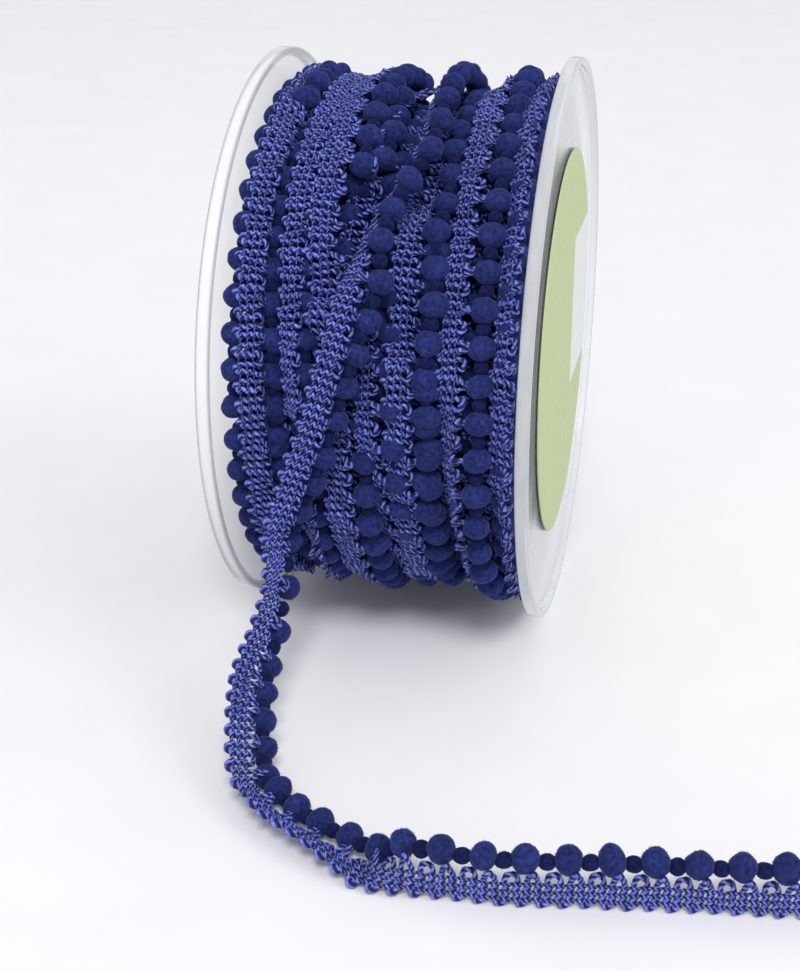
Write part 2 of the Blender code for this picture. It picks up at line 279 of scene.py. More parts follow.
class LumpChain(Recipe):
    """Sets a soft lump at every point of the guide, with its own size, turn and dents, and its pile."""

    def build(self) -> None:
        """Adds the recipe's nodes."""
        ball = self.out("GeometryNodeMeshIcoSphere", 0, {"Radius": 1.0, "Subdivisions": self.given["detail"]})
        ways = {"Primary Axis": self.attribute("along"), "Secondary Axis": self.attribute("up")}
        turn = self.out("FunctionNodeAxesToRotation", 0, ways, primary_axis="X", secondary_axis="Z")
        spin = self.out(
            "FunctionNodeRandomValue",
            "Value",
            {"Min": (-0.25, -0.25, -0.25), "Max": (0.25, 0.25, 0.25), "Seed": self.given["seed"]},
            data_type="FLOAT_VECTOR",
        )
        rolled = self.out("FunctionNodeEulerToRotation", 0, {0: spin})
        turned = self.out(
            "FunctionNodeRotateRotation", 0, {"Rotation": turn, "Rotate By": rolled}, rotation_space="LOCAL"
        )
        spread = self.out(
            "FunctionNodeRandomValue",
            "Value",
            {
                "Min": (0.93, 0.93, 0.93),
                "Max": (1.07, 1.07, 1.07),
                "Seed": self.maths("ADD", self.given["seed"], 7),
            },
            data_type="FLOAT_VECTOR",
        )
        sizes = self.vectors("MULTIPLY", self.given["size"], spread)
        lumps = self.out(
            "GeometryNodeInstanceOnPoints",
            0,
            {"Points": self.given["Guide"], "Instance": ball, "Rotation": turned, "Scale": sizes},
        )
        real = self.out("GeometryNodeRealizeInstances", 0, {0: lumps})
        place = self.out("GeometryNodeInputPosition", 0)
        dents = self.unevenness(place, self.given["dents"], 420.0)
        soft = self.out("GeometryNodeSetPosition", 0, {0: real, "Offset": dents})
        spots = self.node(
            "GeometryNodeDistributePointsOnFaces",
            {"Mesh": soft, "Density": self.given["hairs"], "Seed": self.given["seed"]},
            distribute_method="RANDOM",
        )
        lean = self.out(
            "FunctionNodeRandomValue",
            "Value",
            {"Min": (-0.7, -0.7, -3.1), "Max": (0.7, 0.7, 3.1), "Seed": self.given["seed"]},
            data_type="FLOAT_VECTOR",
        )
        leant = self.out(
            "FunctionNodeRotateRotation",
            0,
            {
                "Rotation": self.pick(spots.outputs, "Rotation"),
                "Rotate By": self.out("FunctionNodeEulerToRotation", 0, {0: lean}),
            },
            rotation_space="LOCAL",
        )
        fibre = self.out(
            "GeometryNodeMeshCone",
            0,
            {"Vertices": 3, "Radius Top": 0.0, "Radius Bottom": 0.045 * MM, "Depth": 0.42 * MM},
        )
        length = self.out(
            "FunctionNodeRandomValue",
            "Value",
            {"Min": 0.5, "Max": 1.0, "Seed": self.given["seed"]},
            data_type="FLOAT",
        )
        sunk = self.vectors("SCALE", self.pick(spots.outputs, "Normal"), -0.05 * MM)
        seated = self.out(
            "GeometryNodeSetPosition", 0, {0: self.pick(spots.outputs, "Points"), "Offset": sunk}
        )
        pile = self.out(
            "GeometryNodeInstanceOnPoints",
            0,
            {"Points": seated, "Instance": fibre, "Rotation": leant, "Scale": length},
        )
        joined = self.node("GeometryNodeJoinGeometry")
        self.tree.links.new(pile, joined.inputs[0])
        self.tree.links.new(soft, joined.inputs[0])
        self.finish(joined.outputs[0])


# Finishes


def linear(*shades: int) -> tuple[float, float, float, float]:
    """A colour from its display values, 0 to 255."""
    parts = [shade / 255 for shade in shades]
    return (*[(p / 12.92) if p <= 0.04045 else ((p + 0.055) / 1.055) ** 2.4 for p in parts], 1.0)


class Finish(Tree):
    """A material built from nodes round one Principled shader."""

    def __init__(self, name: str) -> None:
        """Args:
        name: the material's name.
        """
        self.made = bpy.data.materials.new(name)
        self.made.use_nodes = True
        super().__init__(self.made.node_tree)
        self.shader = self.tree.nodes["Principled BSDF"]

    def set(self, **values: object) -> None:
        """Sets or links the shader's inputs, with _ for each space in a name."""
        for name, value in values.items():
            socket = self.pick(self.shader.inputs, name.replace("_", " "))
            if isinstance(value, bpy.types.NodeSocket):
                self.tree.links.new(value, socket)
            else:
                socket.default_value = value

    def object_noise(self, scale: float, detail: float = 2.0) -> bpy.types.NodeSocket:
        """Noise on the piece's own coordinates, in features to the metre."""
        place = self.out("ShaderNodeTexCoord", "Object")
        return self.out("ShaderNodeTexNoise", 0, {"Vector": place, "Scale": scale, "Detail": detail})

    def ramp(self, share: bpy.types.NodeSocket, low: float, high: float) -> bpy.types.NodeSocket:
        """Spreads a value between two limits over 0 to 1."""
        return self.out("ShaderNodeMapRange", 0, {"Value": share, "From Min": low, "From Max": high})

    def mix(self, share: object, first: object, second: object) -> bpy.types.NodeSocket:
        """Mixes two colours."""
        made = self.node("ShaderNodeMix", data_type="RGBA")
        for place, value in ((0, share), (6, first), (7, second)):
            if isinstance(value, bpy.types.NodeSocket):
                self.tree.links.new(value, made.inputs[place])
            else:
                made.inputs[place].default_value = value
        return made.outputs[2]

    def bump(
        self, height: bpy.types.NodeSocket, distance: float, strength: float = 1.0
    ) -> bpy.types.NodeSocket:
        """A bumped normal from a height of 0 to 1."""
        return self.out("ShaderNodeBump", 0, {"Height": height, "Distance": distance, "Strength": strength})


@dataclass(frozen=True)
class YarnFinish:
    """Shiny filament yarn of two plies, with painted shade where the plies meet and painted glints in small
    flecks.
    """

    name: str
    lit: tuple[int, int, int]
    groove_shade: tuple[int, int, int]
    roughness: float = 0.36

    def material(self) -> bpy.types.Material:
        """Builds the material."""
        tree = Finish(self.name)
        along, around, _ = tree.parts(tree.out("ShaderNodeTexCoord", "UV"))
        phase = tree.maths("MULTIPLY", tree.maths("SUBTRACT", around, along), 2 * TAU)
        ply = tree.ramp(tree.maths("COSINE", phase), -0.6, 0.85)
        filaments = tree.maths("SINE", tree.maths("MULTIPLY", tree.maths("ADD", around, along), 9 * TAU))
        # Small flecks: painted glints in the colour, and a raise in the bump.
        glint_fleck = tree.ramp(tree.object_noise(1900.0, 3.0), 0.38, 0.66)
        patch = tree.ramp(tree.object_noise(260.0), 0.35, 0.65)
        body = tree.mix(patch, linear(*[int(s * 0.72) for s in self.lit]), linear(*self.lit))
        glinted_body = tree.mix(glint_fleck, body, linear(*[min(255, int(s * 0.9) + 60) for s in self.lit]))
        # Where the plies meet the colour goes dark: painted shade.
        colour = tree.mix(ply, linear(*self.groove_shade), glinted_body)
        height = tree.maths("ADD", ply, tree.maths("MULTIPLY", filaments, 0.12))
        height = tree.maths("ADD", height, tree.maths("MULTIPLY", glint_fleck, 0.35))
        spread = tree.maths("SUBTRACT", self.roughness + 0.34, tree.maths("MULTIPLY", ply, 0.4))
        tree.set(Base_Color=colour, Roughness=spread, Normal=tree.bump(height, 0.12 * MM, 0.9))
        tree.set(Specular_IOR_Level=0.55, Sheen_Weight=0.06, Sheen_Roughness=0.4)
        tree.set(Specular_Tint=linear(205, 208, 255), Sheen_Tint=linear(120, 140, 255))
        return tree.made


@dataclass(frozen=True)
class PileFinish:
    """Matt clipped pile: tufts a shade lighter at their tips, with painted shade between them down to the
    root colour.
    """

    name: str
    tip: tuple[int, int, int]
    root: tuple[int, int, int]
    sheen: float = 0.55

    def material(self) -> bpy.types.Material:
        """Builds the material."""
        tree = Finish(self.name)
        tufts = tree.ramp(tree.object_noise(1500.0, 3.0), 0.3, 0.7)
        patch = tree.ramp(tree.object_noise(190.0), 0.35, 0.65)
        mixed = tree.mix(patch, linear(*[int(s * 0.86) for s in self.tip]), linear(*self.tip))
        # Between the tufts the colour falls to the root colour: painted shade.
        colour = tree.mix(tufts, linear(*self.root), mixed)
        tree.set(Base_Color=colour, Roughness=0.95, Normal=tree.bump(tufts, 0.12 * MM, 0.7))
        tree.set(Specular_IOR_Level=0.12, Sheen_Weight=self.sheen, Sheen_Roughness=0.45)
        tree.set(Sheen_Tint=linear(120, 140, 225))
        return tree.made


@dataclass(frozen=True)
class ClearFinish:
    """Clear moulded plastic: seen through face on, with painted reflection making it pale and less clear at
    grazing angles and along its rim, and painted grey edge lines at its silhouettes and the lip's inner
    corner.
    """

    name: str
    middle: Vector
    lip: float
    face: float
    # pale is painted reflection of the bright room, edge the grey of the painted edge lines.
    pale: tuple[int, int, int] = (232, 235, 239)
    edge: tuple[int, int, int] = (88, 94, 104)

    def material(self) -> bpy.types.Material:
        """Builds the material."""
        tree = Finish(self.name)
        waves = tree.bump(tree.object_noise(45.0), 0.3 * MM, 0.25)
        along = tree.out("ShaderNodeLayerWeight", "Facing", {"Blend": 0.5, "Normal": waves})
        # Paler and less clear at grazing angles: painted reflection of the bright room.
        turned = tree.ramp(along, 0.58, 0.92)
        reflection_veil = tree.maths("MULTIPLY", tree.maths("MULTIPLY", turned, turned), 0.8)
        scuffs = tree.maths("MULTIPLY", tree.ramp(tree.object_noise(160.0), 0.3, 0.8), 0.1)
        place = tree.vectors("SUBTRACT", tree.out("ShaderNodeTexCoord", "Object"), tuple(self.middle))
        across, back, height = tree.parts(place)
        squares = [tree.maths("MULTIPLY", part, part) for part in (back, height)]
        radius = tree.maths("SQRT", tree.maths("ADD", *squares))
        wall = tree.ramp(radius, self.lip, self.lip + 0.4 * MM)
        inset = tree.maths("SUBTRACT", tree.maths("ABSOLUTE", across), self.face)
        corner = tree.maths("ABSOLUTE", tree.maths("SUBTRACT", inset, 1.1 * MM))
        # A painted grey line along the inner corner of the lip.
        line = tree.maths("MULTIPLY", tree.ramp(corner, 0.72 * MM, 1.0 * MM), wall)
        # Grey at the most grazing angles and along that line: painted edge shade.
        rim = tree.maths("MAXIMUM", tree.ramp(along, 0.87, 0.985), tree.maths("MULTIPLY", line, 0.42))
        # Paler and less clear along the rim: painted reflection.
        reflection_veil = tree.maths("ADD", reflection_veil, tree.maths("MULTIPLY", wall, 0.3))
        reflection_veil = tree.maths("ADD", reflection_veil, tree.maths("MULTIPLY", line, 0.3), clamp=True)
        tree.set(Base_Color=tree.mix(rim, linear(*self.pale), linear(*self.edge)), Normal=waves)
        tree.set(Roughness=tree.maths("ADD", scuffs, 0.08), Alpha=tree.maths("ADD", reflection_veil, 0.09))
        tree.set(IOR=1.46)
        return tree.made


@dataclass(frozen=True)
class PaperFinish:
    """Smooth printed paper with a plain pale panel on one side of it.

    The panel runs back from start, between low and high.
    """

    name: str
    ground: tuple[int, int, int]
    panel: tuple[int, int, int]
    start: float
    low: float
    high: float

    def material(self) -> bpy.types.Material:
        """Builds the material."""
        tree = Finish(self.name)
        _, y, z = tree.parts(tree.out("ShaderNodeTexCoord", "Object"))
        over = tree.maths("GREATER_THAN", z, self.low)
        level = tree.maths("MULTIPLY", over, tree.maths("LESS_THAN", z, self.high))
        inside = tree.maths("MULTIPLY", tree.maths("GREATER_THAN", y, self.start), level)
        grain = tree.ramp(tree.object_noise(900.0, 4.0), 0.35, 0.65)
        dark = tree.mix(inside, linear(*[s - 6 for s in self.ground]), linear(*[s - 4 for s in self.panel]))
        pale = tree.mix(inside, linear(*self.ground), linear(*self.panel))
        tree.set(Base_Color=tree.mix(grain, dark, pale), Roughness=0.55)
        tree.set(Normal=tree.bump(grain, 0.01 * MM, 0.4), Specular_IOR_Level=0.4)
        return tree.made


@dataclass(frozen=True)
class PlainFinish:
    """A plain surface with a faint grain, for the core and the floor."""

    name: str
    colour: tuple[int, int, int]
    roughness: float
    grain: float = 300.0

    def material(self) -> bpy.types.Material:
        """Builds the material."""
        tree = Finish(self.name)
        grain = tree.ramp(tree.object_noise(self.grain), 0.3, 0.7)
        shade = tree.mix(grain, linear(*[s - 3 for s in self.colour]), linear(*self.colour))
        tree.set(Base_Color=shade, Roughness=self.roughness, Specular_IOR_Level=0.3)
        return tree.made


# The trim


@dataclass(frozen=True)
class Trim:
    """The trim's own sizes."""

    pitch: float = 6.0 * MM
    braid_width: float = 4.8 * MM
    braid_thickness: float = 1.2 * MM
    pompom_radius: float = 2.2 * MM
    gap: float = 0.3 * MM
    table_clearance: float = 0.25 * MM

    @property
    def edge(self) -> float:
        """How far the braid's pompom edge is from its middle."""
        return self.braid_width / 2


TRIM = Trim()


class Detail(Enum):
    """How finely a length of braid is made: its sides round the yarn, steps a pitch and stitch lines."""

    LOOSE = (8, 112, (0.92, -0.25, -1.38))
    WOUND = (6, 72, (0.92, -0.25, -1.38))
    BURIED = (4, 28, (-0.25,))


@dataclass
class Strand:
    """One yarn of a cell as points with radii, all in millimetres, and how often it twists along them."""

    points: list[tuple[float, float, float]]
    radii: list[float]
    twists: float


@dataclass
class BraidCell:
    """One pitch of the crocheted braid, laid flat, from the ring before a pompom to the next ring."""

    detail: Detail
    yarn: float = 0.56
    ring_yarn: float = 0.43
    stitch: float = 0.3
    twists: int = 10
    # The yarn's way through the first half of the cell: along, across and out.
    half: tuple[tuple[float, float, float], ...] = (
        (0.0, 2.54, 0.0),
        (0.56, 2.36, 0.0),
        (0.9, 1.86, 0.05),
        (0.92, 1.36, 0.1),
        (0.78, 0.88, 0.12),
        (0.72, 0.35, 0.1),
        (0.77, -0.25, 0.06),
        (0.82, -0.8, 0.02),
        (0.84, -1.35, 0.0),
        (1.04, -1.84, 0.0),
        (1.5, -2.06, 0.0),
        (1.96, -1.84, 0.0),
        (2.16, -1.35, -0.02),
        (2.18, -0.8, -0.05),
        (2.23, -0.25, -0.06),
        (2.26, 0.35, -0.02),
        (2.22, 0.9, 0.1),
        (2.22, 1.5, 0.3),
        (2.36, 2.1, 0.7),
        (2.58, 2.7, 1.25),
        (2.76, 3.2, 1.7),
        (2.93, 3.55, 1.9),
    )

    def gimp(self, steps: int) -> Strand:
        """The main yarn through one whole cell.

        Args:
            steps: how many straight pieces it is made of.

        Returns:
            The yarn.
        """
        pitch = TRIM.pitch / MM
        back = [(pitch - x, y, z) for x, y, z in reversed(self.half)]
        before = [(-x, y, z) for x, y, z in self.half[1:3]][::-1]
        after = [(pitch + x, y, z) for x, y, z in self.half[1:3]]
        knots = np.array([*before, *self.half, *back, *after])
        first, last = len(before), len(knots) - len(after) - 1
        spans = np.linspace(first, last, steps + 1)
        points = [tuple(spline(knots, s)) for s in spans]
        thicker = self.yarn - self.ring_yarn
        radii = [self.ring_yarn + thicker * smooth((1.1 - y) / 0.9) for _, y, _ in points]
        return Strand(points, radii, self.twists)

    def stitches(self, across: float, steps: int) -> Strand:
        """A line of chain stitch that rises over each rung and dips between.

        Args:
            across: where it lies across the braid.
            steps: how many straight pieces it is made of.

        Returns:
            The line of stitch.
        """
        pitch = TRIM.pitch / MM
        points, radii = [], []
        for step in range(steps + 1):
            x = pitch * step / steps
            over = math.cos(TAU * (x - 0.75) / 3.0) ** 2
            points.append((x, across + 0.14 * math.sin(TAU * x / 1.5), 0.08 + 0.42 * over))
            radii.append(self.stitch * (0.85 + 0.25 * over))
        return Strand(points, radii, pitch // 1.5)

    def mesh(self) -> bpy.types.Mesh:
        """Builds the cell's mesh, with the twist along and the way round each yarn as its UV map.

        Returns:
            The mesh, in metres.
        """
        sides, steps, lines = self.detail.value
        work = bmesh.new()
        layer = work.loops.layers.uv.new("UVMap")
        stitch_steps = 16 if self.detail is Detail.LOOSE else 12
        tube(work, layer, self.gimp(steps), sides)
        for across in lines:
            tube(work, layer, self.stitches(across, stitch_steps), max(3, sides - 3))
        mesh = bpy.data.meshes.new("braid_cell")
        work.to_mesh(mesh)
        work.free()
        return mesh


def smooth(share: float) -> float:
    """An even step from 0 to 1."""
    share = min(1.0, max(0.0, share))
    return share * share * (3 - 2 * share)


def spline(knots: np.ndarray, place: float) -> np.ndarray:
    """A point on a smooth curve through the knots.

    Args:
        knots: the rows that it passes through.
        place: the number of a knot, or a place between two.

    Returns:
        The row at that place.
    """
    start = min(max(int(place), 0), len(knots) - 2)
    t = place - start
    b, c = knots[start], knots[start + 1]
    a = knots[start - 1] if start > 0 else 2 * b - c
    d = knots[start + 2] if start + 2 < len(knots) else 2 * c - b
    curved = (2 * a - 5 * b + 4 * c - d) * t**2 + (-a + 3 * b - 3 * c + d) * t**3
    return b + 0.5 * ((c - a) * t + curved)


def tube(work: bmesh.types.BMesh, layer: object, strand: Strand, sides: int, relief: float = 0.17) -> None:
    """Adds a tube with open ends round a strand, with its two plies twisted round each other.

    Args:
        work: the mesh to add to.
        layer: its UV layer, which gets the twists along and the share of the way round.
        strand: the tube's middle and radii, in millimetres.
        sides: how many sides it has.
        relief: how far the plies stand out, as a share of the radius.
    """
    points = np.array(strand.points)
    ways = np.gradient(points, axis=0)
    ways /= np.linalg.norm(ways, axis=1, keepdims=True)
    lengths = np.concatenate(([0.0], np.cumsum(np.linalg.norm(np.diff(points, axis=0), axis=1))))
    twists = lengths / lengths[-1] * strand.twists
    out = np.array((0.0, 0.0, 1.0))
    rings = []
    for point, way, radius, twist in zip(points, ways, strand.radii, twists):
        level = out - way * out.dot(way)
        level /= np.linalg.norm(level)
        across = np.cross(way, level)
        ring = []
        for side in range(sides):
            turn = TAU * side / sides
            ply = 1 + relief * math.cos(2 * (turn - TAU * twist))
            spot = point + (level * math.cos(turn) + across * math.sin(turn)) * radius * ply
            ring.append(work.verts.new(spot * MM))
        rings.append(ring)
    for number, (near, far) in enumerate(zip(rings, rings[1:])):
        for side in range(sides):
            other = (side + 1) % sides
            face = work.faces.new((near[side], far[side], far[other], near[other]))
            start, end = twists[number], twists[number + 1]
            shares = (side / sides, side / sides, (side + 1) / sides, (side + 1) / sides)
            for loop, twist, share in zip(face.loops, (start, end, end, start), shares):
                loop[layer].uv = (twist, share)
            face.normal_flip()


@dataclass
class Route:
    """The way that a length of trim follows.

    rows holds the braid's centre, the way to its pompom edge and how far the pompoms are tucked behind
    it, in degrees, with a row for each place.
    """

    rows: np.ndarray
    step: float = 1.5 * MM
    on_table: bool = False
    points: np.ndarray = field(init=False)
    sides: np.ndarray = field(init=False)
    faces: np.ndarray = field(init=False)
    reaches: np.ndarray = field(init=False)
    fronts: np.ndarray = field(init=False)
    lengths: np.ndarray = field(init=False)
    tucks: np.ndarray = field(init=False)
    along: np.ndarray = field(init=False)

    def __post_init__(self) -> None:
        """Smooths the rows and finds the braid's ways at each point."""
        rows = [self.rows[0]]
        for number in range(len(self.rows) - 1):
            span = np.linalg.norm(self.rows[number + 1][:3] - self.rows[number][:3])
            pieces = max(1, round(span / self.step))
            rows.extend(spline(self.rows, number + piece / pieces) for piece in range(1, pieces + 1))
        rows = np.array(rows)
        self.points = rows[:, :3]
        along = np.gradient(self.points, axis=0)
        along /= np.linalg.norm(along, axis=1, keepdims=True)
        sides = rows[:, 3:6]
        sides = sides - along * np.sum(sides * along, axis=1, keepdims=True)
        self.sides = sides / np.linalg.norm(sides, axis=1, keepdims=True)
        self.faces = np.cross(along, self.sides)
        tucked = np.radians(rows[:, 6:7])
        self.reaches = self.sides * np.cos(tucked) - self.faces * np.sin(tucked)
        self.fronts = self.faces * np.clip(1 - np.abs(rows[:, 6:7]) / 50, 0, 1)
        gaps = np.linalg.norm(np.diff(self.points, axis=0), axis=1)
        self.lengths = np.concatenate(([0.0], np.cumsum(gaps)))
        self.tucks = np.abs(np.sin(tucked))[:, 0]
        self.along = along

    @property
    def length(self) -> float:
        """The braid's length along its middle."""
        return float(self.lengths[-1])

    def at(self, values: np.ndarray, distance: float) -> np.ndarray:
        """A value of the route at a distance along it."""
        return np.array([np.interp(distance, self.lengths, column) for column in values.T])

    def guide(self) -> bpy.types.Mesh:
        """The route as a chain of edges with its ways as attributes."""
        mesh = bpy.data.meshes.new("route")
        count = len(self.points)
        mesh.from_pydata(self.points.tolist(), [(i, i + 1) for i in range(count - 1)], [])
        ways = {"side": self.sides, "face": self.faces, "reach": self.reaches, "front": self.fronts}
        for name, values in ways.items():
            made = mesh.attributes.new(name, "FLOAT_VECTOR", "POINT")
            made.data.foreach_set("vector", values.astype(np.float32).ravel())
        return mesh

    def pompom(self, distance: float) -> np.ndarray:
        """A pompom's centre.

        Args:
            distance: how far along the braid it is sewn on.

        Returns:
            Its place.
        """
        centre = self.at(self.points, distance)
        side = self.at(self.sides, distance)
        reach = self.at(self.reaches, distance)
        tuck = float(np.interp(distance, self.lengths, self.tucks))
        arm = reach * (TRIM.gap + TRIM.pompom_radius + TRIM.braid_thickness / 2 * tuck)
        if self.on_table:
            face = self.at(self.faces, distance)
            braid_rests = TRIM.edge * abs(side[2]) + TRIM.braid_thickness / 2 * abs(face[2])
            pompom_rests = TRIM.pompom_radius - TRIM.edge * side[2] - arm[2]
            centre[2] = max(centre[2], max(braid_rests, pompom_rests) + TRIM.table_clearance)
        return centre + side * TRIM.edge + arm


@dataclass
class Chain:
    """Pompoms or knots in a row: each one's centre, the way along the row and the way out of it."""

    centres: list[np.ndarray] = field(default_factory=list)
    ways: list[np.ndarray] = field(default_factory=list)
    outs: list[np.ndarray] = field(default_factory=list)

    def add(self, centre: np.ndarray, way: np.ndarray, out: np.ndarray) -> None:
        """Adds one lump."""
        self.centres.append(centre)
        self.ways.append(way)
        self.outs.append(out)

    def extend(self, other: "Chain") -> None:
        """Adds another row's lumps."""
        self.centres.extend(other.centres)
        self.ways.extend(other.ways)
        self.outs.extend(other.outs)

    def part(self, start: int, stop: int) -> "Chain":
        """A stretch of the row."""
        return Chain(self.centres[start:stop], self.ways[start:stop], self.outs[start:stop])

    def between(self, drop: float) -> "Chain":
        """The knots between neighbouring pompoms.

        Args:
            drop: how far they stand in from the pompoms' line, towards the braid.

        Returns:
            The knots.
        """
        made = Chain()
        for number in range(len(self.centres) - 1):
            first, second = self.centres[number], self.centres[number + 1]
            out = self.outs[number]
            if np.linalg.norm(second - first) < 1.6 * TRIM.pitch:
                made.add((first + second) / 2 - out * drop, second - first, out)
        return made

    def guide(self) -> bpy.types.Mesh:
        """The row as loose points with its ways as attributes."""
        mesh = bpy.data.meshes.new("row")
        mesh.from_pydata([tuple(c) for c in self.centres], [], [])
        for name, values in (("along", self.ways), ("up", self.outs)):
            made = mesh.attributes.new(name, "FLOAT_VECTOR", "POINT")
            made.data.foreach_set("vector", np.array(values, dtype=np.float32).ravel())
        return mesh


@dataclass
class Workshop:
    """The recipes, cells and finishes that every length of trim is made with."""

    braid: BentBraid
    lumps: LumpChain
    cells: dict[Detail, bpy.types.Object]
    yarn: bpy.types.Material
    pile: bpy.types.Material
    knot: bpy.types.Material

    @classmethod
    def fitted(cls) -> "Workshop":
        """Sets up the recipes, the cells and the trim's finishes."""
        braid = BentBraid(
            "braid_along_route",
            cell="Object",
            pitch="Float",
            cells="Int",
            first="Float",
            edge="Float",
            uneven="Float",
            seed="Float",
        )
        lumps = LumpChain(
            "lumps_along_row", size="Vector", detail="Int", dents="Float", hairs="Float", seed="Int"
        )
        cells = {}
        for detail in Detail:
            cells[detail] = bpy.data.objects.new("cell_" + detail.name.lower(), BraidCell(detail).mesh())
        # The yarn's darkest colour is painted shade where its plies meet.
        yarn = YarnFinish("braid_yarn", lit=(84, 98, 204), groove_shade=(9, 12, 58)).material()
        # The root colours of the pompom and knot pile are painted shade between the tufts.
        pile = PileFinish("pompom_pile", tip=(46, 57, 124), root=(22, 27, 70), sheen=0.35).material()
        knot = PileFinish("knot_pile", tip=(28, 35, 92), root=(11, 14, 46), sheen=0.2).material()
        return cls(braid, lumps, cells, yarn, pile, knot)

    def bent(
        self, route: Route, detail: Detail, first: float, count: int, uneven: float, seed: float
    ) -> bpy.types.Mesh:
        """Bends braid along part of a route.

        Args:
            route: the way to follow.
            detail: how finely the braid is made.
            first: where its first cell starts along the route.
            count: how many cells it has.
            uneven: how far its yarns stray.
            seed: which unevenness it gets.

        Returns:
            The braid as one mesh, its yarn ends closed.
        """
        mesh = self.braid.make(
            route.guide(),
            cell=self.cells[detail],
            pitch=TRIM.pitch,
            cells=count,
            first=first,
            edge=TRIM.edge,
            uneven=uneven,
            seed=seed,
            finish=self.yarn,
        )
        work = bmesh.new()
        work.from_mesh(mesh)
        open_edges = [edge for edge in work.edges if edge.is_boundary]
        bmesh.ops.holes_fill(work, edges=open_edges, sides=0)
        work.to_mesh(mesh)
        work.free()
        return mesh

    def pompoms(
        self, row: Chain, size: tuple[float, float, float], detail: int, hairs: float, seed: int
    ) -> bpy.types.Mesh:
        """Makes a row of pompoms.

        Args:
            row: where they are.
            size: their half sizes along the row, across it and out of it.
            detail: how finely each is divided.
            hairs: how many fibres stand on a square metre.
            seed: which unevenness they get.

        Returns:
            The pompoms as one mesh.
        """
        return self.lumps.make(
            row.guide(), size=size, detail=detail, dents=0.16 * MM, hairs=hairs, seed=seed, finish=self.pile
        )

    def knots(self, row: Chain, seed: int, hairs: float = 0.0, detail: int = 2) -> bpy.types.Mesh:
        """Makes the knots between a row of pompoms."""
        size = (1.4 * MM, 1.2 * MM, 1.3 * MM)
        return self.lumps.make(
            row.guide(), size=size, detail=detail, dents=0.1 * MM, hairs=hairs, seed=seed, finish=self.knot
        )

    def clear_up(self) -> None:
        """Removes the cells, which are no pieces of the part."""
        for cell in self.cells.values():
            bpy.data.objects.remove(cell)


def placed(name: str, mesh: bpy.types.Mesh, slot: str, *nodes: str) -> bpy.types.Object:
    """Puts a finished mesh in the scene as a piece.

    Args:
        name: the piece's name.
        mesh: its mesh, in place.
        slot: the record's material slot; not used.
        nodes: the CAD nodes that it stands for.

    Returns:
        The piece.
    """
    made = bpy.data.objects.new(name, mesh)
    mesh.name = name
    bpy.context.scene.collection.objects.link(made)
    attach(made, ROOT)
    if nodes:
        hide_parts(*nodes)
    log.info("%s: %d faces", name, len(mesh.polygons))
    return made


# The sub-assemblies


